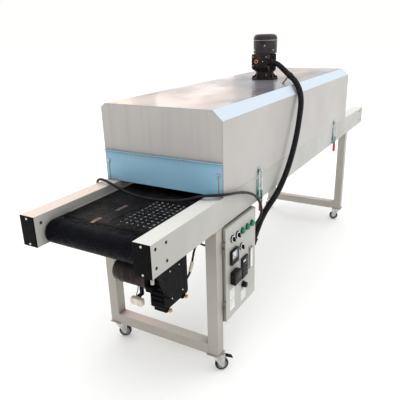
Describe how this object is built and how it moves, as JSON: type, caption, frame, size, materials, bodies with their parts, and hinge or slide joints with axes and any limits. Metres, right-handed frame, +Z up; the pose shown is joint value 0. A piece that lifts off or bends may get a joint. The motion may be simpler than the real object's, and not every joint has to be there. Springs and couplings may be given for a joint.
{
  "type": "reflow oven",
  "caption": "Conveyor reflow oven: hinged tunnel hood with a top blower over a mesh belt, on side rails, wheeled leg frames and a control cabinet.",
  "frame": {"origin": "on the floor under the middle of the conveyor, midway between the side rails", "axes": "+X along the conveyor from the loading end to the exit, -Y towards the operator's side with the latches and cabinet, +Z up"},
  "size_m": [2.931, 0.7015, 1.41],
  "materials": {
    "grey_powder_coat": "satin powder coat with a fine texture",
    "leg_powder_coat": "satin powder coat",
    "black_paint": "satin black paint",
    "motor_paint": "semi-gloss brown-black enamel",
    "blue_paint": "satin light blue paint",
    "zinc_plate": "blue-green passivated zinc",
    "bright_steel": "plain bright steel",
    "inner_steel": "heat-stained sheet steel",
    "mineral_wool": null,
    "roller_rubber": "black ribbed rubber",
    "belt_mesh": "black coated glass-fibre mesh",
    "wheel_rubber": "black rubber tread",
    "black_plastic": "moulded black plastic",
    "lamp_green": "translucent green lens",
    "needle_black": "black painted needle",
    "white_plastic": "glossy white plastic",
    "cable_rubber": "smooth black sheath",
    "grip_red": "soft red dipped grip",
    "brass": "plain brass and copper",
    "dial_white": "white printed card"
  },
  "bodies": {
    "root": {"rail_near": "grey_powder_coat", "rail_far": "grey_powder_coat", "rail_end_caps": "black_paint", "leg_frame_front": "leg_powder_coat", "leg_frame_rear": "leg_powder_coat", "conveyor_belt": "belt_mesh", "slider_bed": "inner_steel", "bearing_blocks": "black_paint", "drive_chain": "bright_steel", "gearbox_housing": "black_paint", "gearmotor_motor": "motor_paint", "chain_guard": "black_paint", "hood_hinge_lower": "zinc_plate", "latch_bases": "zinc_plate", "control_cabinet": "grey_powder_coat", "cable_fittings": "black_plastic", "belt_cable": "cable_rubber", "motor_cable": "cable_rubber", "blower_conduit": "cable_rubber"},
    "hood": {"hood_shell": "grey_powder_coat", "hood_end_panels": "grey_powder_coat", "hood_liner": "mineral_wool", "heater_tubes": "inner_steel", "hood_hinge_upper": "zinc_plate", "latch_catches": "zinc_plate", "blower_mount": "motor_paint", "blower_motor": "motor_paint", "blower_cowl": "motor_paint", "terminal_box": "motor_paint"},
    "front_gate": {"gate_front": "blue_paint"},
    "rear_gate": {"gate_rear": "blue_paint"},
    "rotor": {"blower_rotor": "bright_steel"},
    "front_latch_handle": {"latch_handle_front": "zinc_plate"},
    "rear_latch_handle": {"latch_handle_rear": "zinc_plate"},
    "front_latch_hook": {"latch_hook_front": "bright_steel"},
    "rear_latch_hook": {"latch_hook_rear": "bright_steel"},
    "door": {"cabinet_door": "grey_powder_coat", "pilot_devices": "lamp_green", "ammeter_case": "black_plastic", "temperature_controller": "black_plastic", "speed_controller": "black_plastic"},
    "lock_lever": {"door_lock_lever": "white_plastic"},
    "left_selector": {"selector_knob_left": "black_plastic"},
    "centre_selector": {"selector_knob_centre": "black_plastic"},
    "lower_selector": {"selector_knob_lower": "black_plastic"},
    "dial_knob": {"speed_knob": "black_plastic"},
    "needle": {"ammeter_needle": "needle_black"},
    "front_roller": {"drive_roller": "roller_rubber"},
    "rear_roller": {"idler_roller": "roller_rubber"},
    "output_shaft": {"gearmotor_sprocket": "bright_steel"},
    "front_near_swivel": {"caster_fork_front_near": "bright_steel"},
    "front_near_wheel": {"caster_wheel_front_near": "wheel_rubber"},
    "front_near_brake": {"caster_brake_front_near": "bright_steel"},
    "front_far_swivel": {"caster_fork_front_far": "bright_steel"},
    "front_far_wheel": {"caster_wheel_front_far": "wheel_rubber"},
    "front_far_brake": {"caster_brake_front_far": "bright_steel"},
    "rear_near_swivel": {"caster_fork_rear_near": "bright_steel"},
    "rear_near_wheel": {"caster_wheel_rear_near": "wheel_rubber"},
    "rear_far_swivel": {"caster_fork_rear_far": "bright_steel"},
    "rear_far_wheel": {"caster_wheel_rear_far": "wheel_rubber"}
  },
  "joints": [
    {"name": "hood_hinge", "type": "hinge", "parent": "root", "child": "hood", "pos_m": [0, 0.306, 0.81525], "axis": [-1, 0, 0], "range_deg": [0, 18], "deforming": ["blower_conduit"]},
    {"name": "front_gate_slide", "type": "slide", "parent": "hood", "child": "front_gate", "axis": [0, 0, 1], "range_m": [0, 0.08]},
    {"name": "rear_gate_slide", "type": "slide", "parent": "hood", "child": "rear_gate", "axis": [0, 0, 1], "range_m": [0, 0.08]},
    {"name": "rotor_spin", "type": "hinge", "parent": "hood", "child": "rotor", "pos_m": [0.14, 0, 1.2], "axis": [0, 0, 1], "continuous": true},
    {"name": "front_latch_handle_turn", "type": "hinge", "parent": "root", "child": "front_latch_handle", "pos_m": [-0.62, -0.311, 0.735], "axis": [-1, 0, 0], "range_deg": [0, 150]},
    {"name": "front_latch_hook_turn", "type": "hinge", "parent": "front_latch_handle", "child": "front_latch_hook", "pos_m": [-0.62, -0.311, 0.717], "axis": [-1, 0, 0], "range_deg": [-150, 0]},
    {"name": "rear_latch_handle_turn", "type": "hinge", "parent": "root", "child": "rear_latch_handle", "pos_m": [0.62, -0.311, 0.735], "axis": [-1, 0, 0], "range_deg": [0, 150]},
    {"name": "rear_latch_hook_turn", "type": "hinge", "parent": "rear_latch_handle", "child": "rear_latch_hook", "pos_m": [0.62, -0.311, 0.717], "axis": [-1, 0, 0], "range_deg": [-150, 0]},
    {"name": "door_hinge", "type": "hinge", "parent": "root", "child": "door", "pos_m": [-0.982, -0.315, 0.46], "axis": [0, 0, -1], "range_deg": [0, 110]},
    {"name": "lock_lever_lift", "type": "hinge", "parent": "door", "child": "lock_lever", "pos_m": [-0.738, -0.321, 0.498], "axis": [-1, 0, 0], "range_deg": [0, 60]},
    {"name": "needle_swing", "type": "hinge", "parent": "door", "child": "needle", "pos_m": [-0.89, -0.32, 0.523], "axis": [0, 1, 0], "range_deg": [0, 58]},
    {"name": "dial_knob_turn", "type": "hinge", "parent": "door", "child": "dial_knob", "pos_m": [-0.815, -0.32, 0.352], "axis": [0, -1, 0], "range_deg": [-135, 135]},
    {"name": "left_selector_turn", "type": "hinge", "parent": "door", "child": "left_selector", "pos_m": [-0.918, -0.32, 0.62], "axis": [0, -1, 0], "range_deg": [-45, 45]},
    {"name": "centre_selector_turn", "type": "hinge", "parent": "door", "child": "centre_selector", "pos_m": [-0.87, -0.32, 0.62], "axis": [0, -1, 0], "range_deg": [-45, 45]},
    {"name": "lower_selector_turn", "type": "hinge", "parent": "door", "child": "lower_selector", "pos_m": [-0.832, -0.32, 0.549], "axis": [0, -1, 0], "range_deg": [-45, 45]},
    {"name": "front_roller_spin", "type": "hinge", "parent": "root", "child": "front_roller", "pos_m": [-1.375, 0, 0.732], "axis": [0, 1, 0], "continuous": true},
    {"name": "rear_roller_spin", "type": "hinge", "parent": "root", "child": "rear_roller", "pos_m": [1.375, 0, 0.732], "axis": [0, 1, 0], "continuous": true},
    {"name": "output_shaft_spin", "type": "hinge", "parent": "root", "child": "output_shaft", "pos_m": [-1.31, -0.275, 0.58], "axis": [0, 1, 0], "continuous": true},
    {"name": "front_near_swivel_turn", "type": "hinge", "parent": "root", "child": "front_near_swivel", "pos_m": [-1.009, -0.275, 0.088], "axis": [0, 0, 1], "continuous": true},
    {"name": "front_near_wheel_spin", "type": "hinge", "parent": "front_near_swivel", "child": "front_near_wheel", "pos_m": [-0.99062, -0.29339, 0.031], "axis": [0.7071, 0.7071, 0], "continuous": true},
    {"name": "front_near_brake_tread", "type": "hinge", "parent": "front_near_swivel", "child": "front_near_brake", "pos_m": [-0.99203, -0.29197, 0.071], "axis": [0.7071, 0.7071, 0], "range_deg": [0, 12]},
    {"name": "front_far_swivel_turn", "type": "hinge", "parent": "root", "child": "front_far_swivel", "pos_m": [-1.009, 0.275, 0.088], "axis": [0, 0, 1], "continuous": true},
    {"name": "front_far_wheel_spin", "type": "hinge", "parent": "front_far_swivel", "child": "front_far_wheel", "pos_m": [-0.996, 0.25248, 0.031], "axis": [0.866, 0.5, 0], "continuous": true},
    {"name": "front_far_brake_tread", "type": "hinge", "parent": "front_far_swivel", "child": "front_far_brake", "pos_m": [-0.997, 0.25422, 0.071], "axis": [0.866, 0.5, 0], "range_deg": [0, 12]},
    {"name": "rear_near_swivel_turn", "type": "hinge", "parent": "root", "child": "rear_near_swivel", "pos_m": [0.992, -0.275, 0.088], "axis": [0, 0, 1], "continuous": true},
    {"name": "rear_near_wheel_spin", "type": "hinge", "parent": "rear_near_swivel", "child": "rear_near_wheel", "pos_m": [0.98748, -0.2494, 0.031], "axis": [-0.9848, -0.1736, 0], "continuous": true},
    {"name": "rear_far_swivel_turn", "type": "hinge", "parent": "root", "child": "rear_far_swivel", "pos_m": [0.992, 0.275, 0.088], "axis": [0, 0, 1], "continuous": true},
    {"name": "rear_far_wheel_spin", "type": "hinge", "parent": "rear_far_swivel", "child": "rear_far_wheel", "pos_m": [0.99652, 0.30061, 0.031], "axis": [-0.9848, 0.1736, 0], "continuous": true}
  ],
  "couplings": [
    {"joint": "front_latch_hook_turn", "follows": "front_latch_handle_turn", "ratio": -1},
    {"joint": "rear_latch_hook_turn", "follows": "rear_latch_handle_turn", "ratio": -1},
    {"joint": "rear_roller_spin", "follows": "front_roller_spin", "ratio": 1},
    {"joint": "output_shaft_spin", "follows": "front_roller_spin", "ratio": 1}
  ]
}
